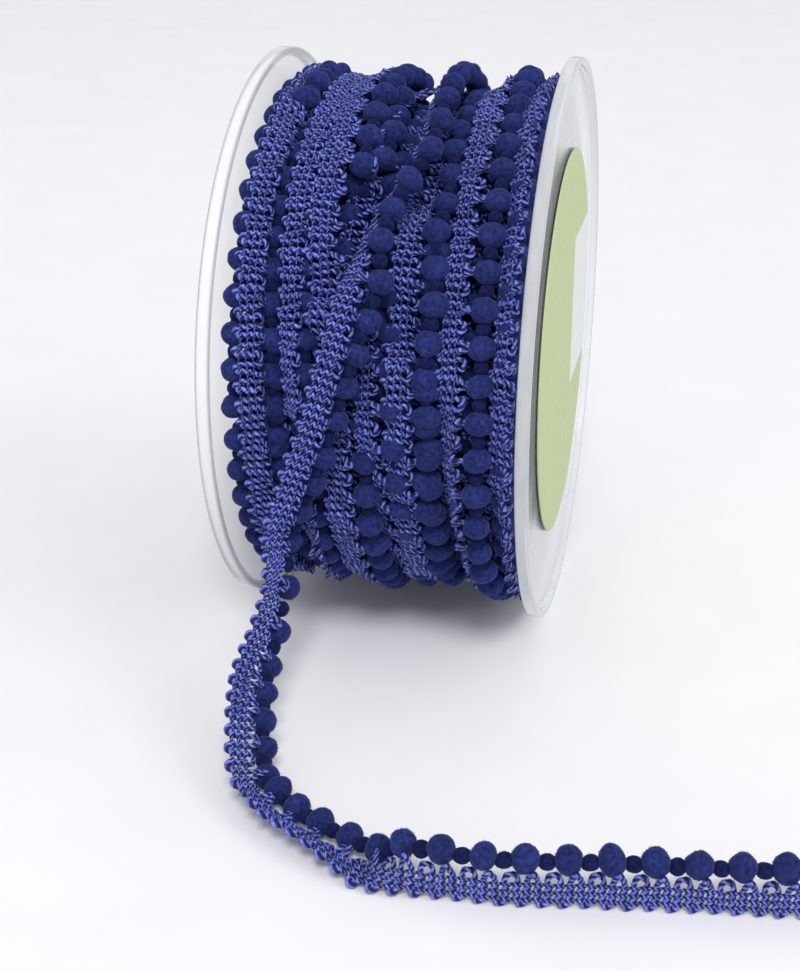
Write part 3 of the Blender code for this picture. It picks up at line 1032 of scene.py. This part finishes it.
@dataclass
class Spool:
    """Two clear flanges with a raised rim, a plain core and a round paper label."""

    flange_radius: float = 50.0 * MM
    disc: float = 1.2 * MM
    rim_depth: float = 2.2 * MM
    rim_wall: float = 1.5 * MM
    rounding: float = 0.55 * MM
    inner_width: float = 49.6 * MM
    label_radius: float = 34.4 * MM
    label_thickness: float = 0.3 * MM
    label_gap: float = 0.3 * MM
    steps: int = 192
    middle: Vector = field(init=False)

    def __post_init__(self) -> None:
        """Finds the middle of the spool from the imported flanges."""
        low = Vector(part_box("flange_left")[0])
        high = Vector(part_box("flange_right")[1])
        self.middle = (low + high) / 2

    def turned(self, name: str, profile: list[tuple[float, float]]) -> bpy.types.Mesh:
        """Turns a profile round the spool's axis.

        Args:
            name: the mesh's name.
            profile: distances from the middle and from the axis, from one end on the axis to the other.

        Returns:
            The closed mesh in place.
        """
        work = bmesh.new()
        verts = [work.verts.new((x, 0.0, r)) for x, r in profile]
        edges = [work.edges.new(pair) for pair in zip(verts, verts[1:])]
        bmesh.ops.spin(
            work,
            geom=[*verts, *edges],
            cent=(0, 0, 0),
            axis=(1, 0, 0),
            angle=TAU,
            steps=self.steps,
            use_merge=True,
        )
        bmesh.ops.remove_doubles(work, verts=work.verts, dist=0.002 * MM)
        bmesh.ops.recalc_face_normals(work, faces=work.faces)
        bmesh.ops.translate(work, verts=work.verts, vec=self.middle)
        mesh = bpy.data.meshes.new(name)
        work.to_mesh(mesh)
        work.free()
        mesh.shade_smooth()
        mesh.set_sharp_from_angle(angle=math.radians(34))
        return mesh

    def flange(self, towards: int) -> bpy.types.Mesh:
        """One clear flange: a thin disc with a lip round its outer side.

        Args:
            towards: 1 for the right flange and -1 for the left one.

        Returns:
            Its mesh.
        """
        lip = self.flange_radius - self.rim_wall
        turn = self.rounding
        profile = [(0.0, 0.0), (0.0, self.flange_radius - turn)]
        for step in range(1, 6):
            angle = math.pi / 2 * step / 5
            profile.append((turn * (1 - math.cos(angle)), self.flange_radius - turn * (1 - math.sin(angle))))
        profile.append((self.rim_depth - turn / 2, self.flange_radius))
        profile.append((self.rim_depth, self.flange_radius - turn / 2))
        profile.append((self.rim_depth, lip + turn / 2))
        profile.append((self.rim_depth - turn / 2, lip))
        for step in range(6):
            angle = math.pi / 2 * step / 5
            out = self.disc + turn * (1 - math.sin(angle))
            profile.append((out, lip - turn * (1 - math.cos(angle))))
        profile.append((self.disc, 0.0))
        half = self.inner_width / 2
        return self.turned("flange", [(towards * (half + x), r) for x, r in profile])

    def label(self) -> bpy.types.Mesh:
        """The paper label, a hair's rounding on its edge."""
        start = self.inner_width / 2 + self.disc + self.label_gap
        end = start + self.label_thickness
        soft = 0.06 * MM
        profile = [
            (start, 0.0),
            (start, self.label_radius - soft),
            (start + soft, self.label_radius),
            (end - soft, self.label_radius),
            (end, self.label_radius - soft),
            (end, 0.0),
        ]
        return self.turned("label", profile)

    def build(self) -> None:
        """Builds and dresses the spool."""
        lip = self.flange_radius - self.rim_wall
        clear = ClearFinish("clear_plastic", self.middle, lip, self.inner_width / 2).material()
        for name, towards in (("flange_left", -1), ("flange_right", 1)):
            mesh = self.flange(towards)
            mesh.materials.append(clear)
            made = placed(name + "_clear", mesh, "clear_plastic", name)
            made.visible_shadow = False
        paper = PaperFinish(
            "label_paper",
            ground=(190, 205, 152),
            panel=(226, 230, 228),
            start=self.middle.y + 10.5 * MM,
            low=self.middle.z - 12 * MM,
            high=self.middle.z + 16 * MM,
        )
        mesh = self.label()
        mesh.materials.append(paper.material())
        placed("label_disc", mesh, "label_paper", "label")
        core = PlainFinish("core_plastic", (222, 223, 224), 0.5).material()
        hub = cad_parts["hub"]
        for slot in hub.material_slots:
            slot.material = core
        log.info("core: dressed")


@dataclass(frozen=True)
class Bit:
    """A round bit of the strand over the roll, which the turns under it keep clear of."""

    x: float
    angle: float
    height: float
    radius: float


@dataclass
class LooseEnd:
    """The trim's end: over the roll, down in front of it and out over the table."""

    spool: Spool
    workshop: Workshop
    cuts: tuple[int, ...] = (21, 31, 37)
    # Round the roll: angle from the front, across the roll, from the axis, turned out, tucked.
    on_roll: tuple[tuple[float, ...], ...] = (
        (150, 0.4, 43.8, 18, 0),
        (127, 1.6, 43.6, 28, 0),
        (109, 2.5, 43.2, 38, 0),
        (94, 2.9, 42.9, 52, 8),
        (80, 3.5, 42.6, 60, 12),
        (70, 4.3, 42.5, 66, 14),
        (61.5, 4.3, 42.5, 66, 14),
        (54, 2.8, 42.6, 64, 14),
        (47.8, 0.6, 42.8, 58, 8),
        (41.8, -0.9, 43.0, 62, 12),
        (36.1, -2.0, 43.6, 58, 14),
        (29.5, -2.9, 45.2, 36, 32),
        (24, -3.7, 46.8, 8, 56),
        (15.3, -5.0, 47.5, 0, 76),
        (6.5, -6.7, 47.7, 0, 80),
        (-2.7, -8.7, 48.0, 0, 78),
    )
    # In the air and on the table: centre, the way to the pompom edge, tucked.
    free: tuple[tuple[float, ...], ...] = (
        (-10.5, -48.7, 42.7, 0.98, 0.15, 0.0, 74),
        (-12.3, -48.8, 37.0, 0.97, 0.2, 0.0, 70),
        (-14.2, -48.7, 31.5, 0.85, 0.5, 0.0, 58),
        (-15.0, -49.0, 26.5, 0.56, 0.82, 0.0, 34),
        (-14.7, -50.8, 22.2, 0.4, 0.91, 0.0, 24),
        (-15.0, -54.5, 18.2, 0.42, 0.88, -0.2, 22),
        (-15.4, -60.0, 15.0, 0.52, 0.78, -0.35, 24),
        (-15.5, -65.3, 12.9, 0.62, 0.67, -0.4, 26),
        (-14.9, -69.6, 11.1, 0.72, 0.53, -0.4, 32),
        (-13.9, -73.6, 9.4, 0.82, 0.4, -0.34, 38),
        (-13.0, -77.2, 7.1, 0.78, 0.5, -0.32, 30),
        (-12.2, -80.2, 4.8, 0.64, 0.66, -0.32, 8),
        (-10.8, -82.8, 2.7, 0.5, 0.74, -0.44, -20),
        (-8.6, -85.2, 0.0, 0.4, 0.78, -0.54, -40),
        (-5.0, -88.8, 0.0, 0.34, 0.8, -0.58, -46),
        (-1.8, -91.0, 0.0, 0.3, 0.82, -0.58, -46),
        (1.4, -92.9, 0.0, 0.26, 0.84, -0.54, -46),
        (5.2, -94.9, 0.0, 0.2, 0.9, -0.38, -44),
        (9.5, -97.0, 0.0, 0.1, 0.95, -0.05, -30),
        (13.2, -98.3, 0.0, 0.0, 0.85, 0.45, -12),
        (17.9, -98.9, 0.0, 0.0, 0.44, 0.9, 0),
        (24.9, -98.7, 0.0, 0.0, 0.16, 0.98, 0),
        (32.2, -98.5, 0.0, 0.0, 0.12, 0.98, 0),
        (45.7, -96.3, 0.0, 0.0, 0.16, 0.98, 0),
        (59.7, -94.4, 0.0, 0.0, 0.12, 0.98, 0),
        (70.1, -93.1, 0.0, 0.0, 0.16, 0.98, 0),
        (81.0, -91.7, 0.0, 0.0, 0.14, 0.98, 0),
    )
    route: Route = field(init=False)
    row: Chain = field(init=False)

    def __post_init__(self) -> None:
        """Works out the route and where its pompoms are."""
        middle = self.spool.middle
        rows = []
        for angle, x, radius, turned, tucked in self.on_roll:
            out = outwards(angle)
            tilt = math.radians(turned)
            centre = out * radius + np.array((x, 0.0, 0.0))
            side = np.array((math.cos(tilt), 0.0, 0.0)) + out * math.sin(tilt)
            rows.append([*(centre * MM + np.array(middle)), *side, tucked])
        for x, y, z, side_x, side_y, side_z, tucked in self.free:
            centre = (x * MM + middle.x, y * MM + middle.y, z * MM)
            rows.append([*centre, side_x, side_y, side_z, tucked])
        rests = Route(np.array(rows), on_table=True)
        for number, centre in enumerate(rests.points):
            side, face, reach = rests.sides[number], rests.faces[number], rests.reaches[number]
            braid_rests = TRIM.edge * abs(side[2]) + TRIM.braid_thickness / 2 * abs(face[2])
            arm = reach[2] * (TRIM.gap + TRIM.pompom_radius)
            pompom_rests = TRIM.pompom_radius - TRIM.edge * side[2] - arm
            centre[2] = max(centre[2], max(braid_rests, pompom_rests) + TRIM.table_clearance)
        self.route = rests
        self.row = Chain()
        count = int(self.route.length / TRIM.pitch)
        for number in range(count):
            distance = (number + 0.5) * TRIM.pitch
            way = self.route.at(self.route.along, distance)
            reach = self.route.at(self.route.reaches, distance)
            self.row.add(self.route.pompom(distance), way, reach)

    def bits(self) -> list[Bit]:
        """The strand's sections near the roll, as round bits."""
        found = []
        middle = np.array(self.spool.middle)
        for number in range(len(self.route.points)):
            centre = self.route.points[number]
            side = self.route.sides[number]
            pompom = self.route.pompom(self.route.lengths[number])
            spots = [(pompom, TRIM.pompom_radius)]
            for share in (-0.5, -0.25, 0.0, 0.25, 0.5):
                spots.append((centre + side * TRIM.braid_width * share, TRIM.braid_thickness / 2))
            for spot, radius in spots:
                x, y, z = spot - middle
                height = math.hypot(y, z)
                if height - radius < 47.0 * MM:
                    found.append(Bit(x, math.degrees(math.atan2(z, -y)), height, radius))
        return found

    def build(self) -> None:
        """Builds the loose end's braid, pompoms and knots."""
        shop = self.workshop
        count = int(self.route.length / TRIM.pitch)
        braid = placed(
            "loose_braid_yarn",
            shop.bent(self.route, Detail.LOOSE, 0.0, count, 0.14 * MM, 3.0),
            "braid_yarn",
            "loose_braid",
        )
        names = ("pompoms_over_roll", "pompoms_hanging", "pompoms_at_bend", "pompoms_on_table")
        limits = (0, *self.cuts, count)
        size = (2.02 * MM, 2.15 * MM, 2.2 * MM)
        for number, name in enumerate(names):
            part = self.row.part(limits[number], limits[number + 1])
            mesh = shop.pompoms(part, size, 3, 6.0e6, 20 + number)
            placed(name + "_pile", mesh, "pompom_pile", name)
        knots = shop.knots(self.row.between(0.4 * MM), 41, hairs=3.0e6, detail=3)
        placed("loose_knots", knots, "pompom_pile")
        log.info("loose end: %.0f mm of trim", self.route.length / MM)


def outwards(angle: float) -> np.ndarray:
    """The way out from the spool's axis, at an angle round it from the front over the top, in degrees."""
    turn = math.radians(angle)
    return np.array((0.0, -math.cos(turn), math.sin(turn)))


def swell(angle: float, centre: float) -> float:
    """1 at centre, falling to 0 a quarter turn away."""
    return max(0.0, math.cos(math.radians(angle - centre))) ** 2


@dataclass(frozen=True)
class Turn:
    """One turn of braid and how it lies near the top, at the front and at the foot of the roll.

    Each lie holds where the braid's middle is across the roll, how far its pompom edge is turned
    outwards and how far the pompoms are tucked behind it.
    """

    top: tuple[float, float, float]
    front: tuple[float, float, float]
    foot: tuple[float, float, float]
    radius: float
    swing: float = 8.0

    @classmethod
    def plain(cls, top: float, front: float, foot: float, radius: float) -> "Turn":
        """A turn that lies flat, with its pompoms beside it.

        Args:
            top: where it is across the roll near the top.
            front: where it is at the front.
            foot: where it is at the foot.
            radius: how far it is from the axis.

        Returns:
            The turn.
        """
        return cls((top, 0, 20), (front, 0, 20), (foot, 0, 20), radius)

    def lie(self, angle: float) -> np.ndarray:
        """Its place across the roll, how far it is turned out and its tuck, at an angle round the roll."""
        top, front, foot = (np.array(one, dtype=float) for one in (self.top, self.front, self.foot))
        over = smooth((angle - 52) / 32) * (1 - smooth((angle - 120) / 60))
        share = np.array((swell(angle, 75), over, over))
        return front + (top - front) * share + (foot - front) * swell(angle, -45)


@dataclass(frozen=True)
class Arc:
    """Pompoms of a deeper turn that show over part of the roll."""

    x: float
    radius: float
    start: int
    stop: int


@dataclass
class WoundRoll:
    """The turns on the spool: an outer layer, the one below it, and the ends of the ones below those."""

    spool: Spool
    workshop: Workshop
    loose: LooseEnd
    degrees: int = 5
    bed: float = 36.5
    lengths: int = 3
    outer: tuple[Turn, ...] = (
        Turn((-19.6, -44, -10), (-20.4, -8, 76), (-18.8, -8, 76), 45.1, 7.0),
        Turn((-13.6, -6, 84), (-12.9, 12, 122), (-11.4, 60, 150), 44.7),
        Turn((-9.9, 10, 14), (-7.5, 4, 20), (-5.8, 6, 20), 45.0),
        Turn((-4.6, -10, 0), (-0.8, 26, 14), (0.2, 30, 14), 42.4, 14.0),
        Turn((4.0, -4, 40), (5.3, -4, 40), (5.2, 4, 40), 44.4),
        Turn((13.1, 22, 24), (12.8, 34, 36), (14.6, 46, 46), 43.9, 14.0),
        Turn((21.0, 24, 110), (21.8, 36, 115), (22.2, 56, 120), 44.7, 10.0),
    )
    buried: tuple[Turn, ...] = (
        Turn.plain(-18.0, -17.5, -17.0, 40.2),
        Turn.plain(-11.0, -11.5, -11.0, 40.0),
        Turn.plain(-5.2, -5.0, -5.4, 40.2),
        Turn.plain(0.8, 1.2, 0.6, 39.4),
        Turn.plain(6.8, 7.0, 7.2, 40.0),
        Turn.plain(11.6, 11.4, 12.0, 40.4),
        Turn.plain(17.0, 17.2, 17.4, 40.0),
    )
    arcs: tuple[Arc, ...] = (
        Arc(-1.6, 43.9, 58, 170),
        Arc(9.6, 43.6, -70, 160),
        Arc(-15.8, 41.4, -60, 40),
        Arc(-17.9, 45.4, 76, 165),
    )

    def route(self, turns: tuple[Turn, ...], bits: list[Bit], seed: float) -> Route:
        """The way of one layer's braid, turn after turn, each shifting to the next behind the roll.

        Args:
            turns: the layer's turns from left to right.
            bits: what lies over the layer.
            seed: which swing the braid has.

        Returns:
            The route.
        """
        rows = []
        for number, turn in enumerate(turns):
            before = turns[number - 1] if number else turn
            last = number == len(turns) - 1
            for angle in range(255, -105 - (1 if last else 0), -self.degrees):
                share = smooth((255 - angle) / 80) if angle > 175 else 1.0
                x, turned, tucked = before.lie(-105) + (turn.lie(angle) - before.lie(-105)) * share
                radius = before.radius + (turn.radius - before.radius) * share
                swing = before.swing + (turn.swing - before.swing) * share
                beat = angle / 57.3 + number * 360 / 57.3 + seed
                wander = math.sin(beat * 2.3) + 0.6 * math.sin(beat * 5.1 + 1.0)
                turned += swing * wander
                x += 0.35 * math.sin(beat * 3.1 + 2.0)
                tilt = math.radians(turned)
                side = np.array((math.cos(tilt), 0.0, 0.0)) + outwards(angle) * math.sin(tilt)
                half = TRIM.edge / MM
                spots = [(x + half * s * math.cos(tilt), half * s * math.sin(tilt)) for s in (-1, 0, 1)]
                radius = min([radius, *[self.limit(sx, angle, bits, 0.7) - up for sx, up in spots]])
                centre = outwards(angle) * radius + np.array((x, 0.0, 0.0))
                rows.append([*(centre * MM + np.array(self.spool.middle)), *side, tucked])
        return Route(np.array(rows))

    def limit(self, x: float, angle: float, bits: list[Bit], half: float) -> float:
        """How far from the axis something may lie under the strand.

        Args:
            x: its place across the roll, in millimetres.
            angle: its place round the roll.
            bits: the strand's bits.
            half: its own half thickness, in millimetres.

        Returns:
            The most that its middle may be from the axis, in millimetres.
        """
        most = 99.0
        for bit in bits:
            apart = abs(bit.x / MM - x)
            if abs((bit.angle - angle + 180) % 360 - 180) < 5 and apart < bit.radius / MM + half + 0.5:
                most = min(most, (bit.height - bit.radius) / MM - half - 0.3)
        return most

    def arc(self, arc: Arc, bits: list[Bit]) -> Chain:
        """The pompoms of a deeper turn, pressed down under the strand.

        Args:
            arc: where they are.
            bits: the strand's bits.

        Returns:
            The pompoms.
        """
        made = Chain()
        step = math.degrees(TRIM.pitch / MM / arc.radius)
        for number in range(int((arc.stop - arc.start) / step)):
            angle = arc.start + number * step
            x = arc.x + 0.5 * math.sin(number * 1.7)
            radius = min(arc.radius + 0.4 * math.sin(number * 2.3), self.limit(x, angle, bits, 2.2))
            out = outwards(angle)
            centre = out * radius * MM + np.array((x * MM, 0.0, 0.0)) + np.array(self.spool.middle)
            made.add(centre, np.cross(out, (1.0, 0.0, 0.0)), out)
        return made

    def row(self, route: Route, bits: list[Bit]) -> Chain:
        """The pompoms of a layer, pressed down where the strand crosses them.

        Args:
            route: the layer's route.
            bits: the strand's bits.

        Returns:
            The pompoms.
        """
        made = Chain()
        middle = np.array(self.spool.middle)
        half = self.spool.inner_width / 2 - 2.45 * MM
        for number in range(int(route.length / TRIM.pitch)):
            distance = (number + 0.5) * TRIM.pitch
            centre = route.pompom(distance) - middle
            centre[0] = min(max(centre[0], -half), half)
            height = math.hypot(centre[1], centre[2])
            angle = math.degrees(math.atan2(centre[2], -centre[1]))
            most = self.limit(centre[0] / MM, angle, bits, 2.2) * MM
            out = outwards(angle)
            if height > most:
                centre = centre + out * (most - height)
            made.add(centre + middle, route.at(route.along, distance), out)
        return made

    def ring(self, x: float, radius: float, turn: float = 0.0) -> Chain:
        """A closed row of pompoms round the axis.

        Args:
            x: its place across the roll, in millimetres.
            radius: its radius, in millimetres.
            turn: how far it is turned round, in pitches.

        Returns:
            The pompoms.
        """
        made = Chain()
        count = round(TAU * radius * MM / TRIM.pitch)
        for number in range(count):
            angle = 360 * (number + turn) / count
            out = outwards(angle)
            centre = out * radius * MM + np.array((x * MM, 0.0, 0.0)) + np.array(self.spool.middle)
            made.add(centre, np.cross(out, (1.0, 0.0, 0.0)), out)
        return made

    def build(self) -> None:
        """Builds the roll."""
        shop = self.workshop
        bits = self.loose.bits()
        outer = self.route(self.outer, bits, 0.0)
        cells = int(outer.length / TRIM.pitch)
        share = math.ceil(cells / self.lengths)
        for number in range(self.lengths):
            start = number * share
            count = min(share, cells - start)
            mesh = shop.bent(outer, Detail.WOUND, start * TRIM.pitch, count, 0.4 * MM, 9.0)
            placed(f"wound_braid_{number}", mesh, "braid_yarn", *(("roll",) if number == 0 else ()))
        row = self.row(outer, bits)
        row.extend(self.ring(-22.4, 43.3))
        for arc in self.arcs:
            row.extend(self.arc(arc, bits))
        size = (2.05 * MM, 2.35 * MM, 2.2 * MM)
        placed("wound_pompoms", shop.pompoms(row, size, 3, 0.4e6, 61), "pompom_pile")
        placed("wound_knots", shop.knots(row.between(0.2 * MM), 62), "pompom_pile")
        under = self.route(self.buried, [], 4.0)
        cells = int(under.length / TRIM.pitch)
        placed("buried_braid", shop.bent(under, Detail.BURIED, 0.0, cells, 0.25 * MM, 14.0), "braid_yarn")
        row = self.row(under, [])
        placed("buried_pompoms", shop.pompoms(row, size, 2, 0.0, 63), "pompom_pile")
        placed("buried_knots", shop.knots(row.between(0.2 * MM), 64, detail=1), "pompom_pile")
        ends = Chain()
        for number, radius in enumerate((39.0, 34.6, 30.2, 25.8, 21.4, 17.0)):
            for x in (-22.4, 22.4):
                ends.extend(self.ring(x, radius, number * 0.4))
        placed("end_pompoms", shop.pompoms(ends, size, 2, 0.0, 65), "pompom_pile")
        half = self.spool.inner_width / 2 / MM - 3.0
        inner = 12.4
        corners = ((-half, inner), (-half, self.bed), (half, self.bed), (half, inner), (-half, inner))
        drum = self.spool.turned("drum", [(x * MM, r * MM) for x, r in corners])
        # The bed takes the dark knot pile: painted shade for the deep turns that it stands in for.
        drum.materials.append(shop.knot)
        placed("wound_bed", drum, "pompom_pile")


@dataclass
class Studio:
    """A pale floor, a pale room, soft lamps and the camera."""

    spool: Spool
    camera: tuple[float, float, float] = (58.56, -294.04, 151.81)
    target: tuple[float, float, float] = (-3.94, 0.0, 18.6)
    focal_pixels: float = 1715.0
    frame_pixels: float = 971.0
    floor_size: float = 6.0

    def place(self, spot: tuple[float, float, float]) -> Vector:
        """A place from the spool's middle and the table, in millimetres, as one in the scene."""
        return Vector(spot) * MM + Vector((self.spool.middle.x, self.spool.middle.y, 0.0))

    def lamp(
        self, name: str, spot: tuple[float, float, float], size: float, power: float, colour: tuple
    ) -> None:
        """Adds a soft square lamp that points at the spool.

        Args:
            name: its name.
            spot: where it is, in millimetres.
            size: its side, in metres.
            power: its power, in watts.
            colour: its colour.
        """
        data = bpy.data.lights.new(name, "AREA")
        data.size = size
        data.energy = power
        data.color = colour
        made = bpy.data.objects.new(name, data)
        made.location = self.place(spot)
        aim = self.place((0, 0, 30)) - made.location
        made.rotation_euler = aim.to_track_quat("-Z", "Y").to_euler()
        bpy.context.scene.collection.objects.link(made)

    def build(self) -> None:
        """Builds the floor, the light and the camera."""
        scene = bpy.context.scene
        half = self.floor_size / 2
        mesh = bpy.data.meshes.new("floor")
        corners = [(-half, -half, 0), (half, -half, 0), (half, half, 0), (-half, half, 0)]
        mesh.from_pydata(corners, [], [(0, 1, 2, 3)])
        mesh.materials.append(PlainFinish("floor_card", (240, 240, 243), 0.6, 40.0).material())
        floor = bpy.data.objects.new("floor", mesh)
        scene.collection.objects.link(floor)
        world = bpy.data.worlds.new("room")
        world.use_nodes = True
        world.node_tree.nodes["Background"].inputs[0].default_value = (0.98, 0.985, 1.0, 1.0)
        world.node_tree.nodes["Background"].inputs[1].default_value = 0.64
        scene.world = world
        self.lamp("key", (600, -2500, 3200), 1.2, 94.0, (1.0, 0.99, 0.98))
        self.lamp("fill", (3200, -1200, 2600), 2.0, 30.0, (1.0, 1.0, 1.0))
        data = bpy.data.cameras.new("camera")
        data.sensor_width = 36.0
        data.lens = self.focal_pixels * data.sensor_width / self.frame_pixels
        data.clip_start = 0.001
        camera = bpy.data.objects.new("camera", data)
        camera.location = self.place(self.camera)
        aim = self.place(self.target) - camera.location
        camera.rotation_euler = aim.to_track_quat("-Z", "Y").to_euler()
        scene.collection.objects.link(camera)
        scene.camera = camera
        scene.view_settings.view_transform = "Standard"
        log.info("studio: ready")


def main() -> None:
    """Builds the classes in order."""
    logging.basicConfig(level=logging.INFO, format="%(message)s")
    spool = Spool()
    Studio(spool).build()
    workshop = Workshop.fitted()
    loose = LooseEnd(spool, workshop)
    loose.build()
    WoundRoll(spool, workshop, loose).build()
    spool.build()
    workshop.clear_up()


if __name__ == "__main__":
    main()
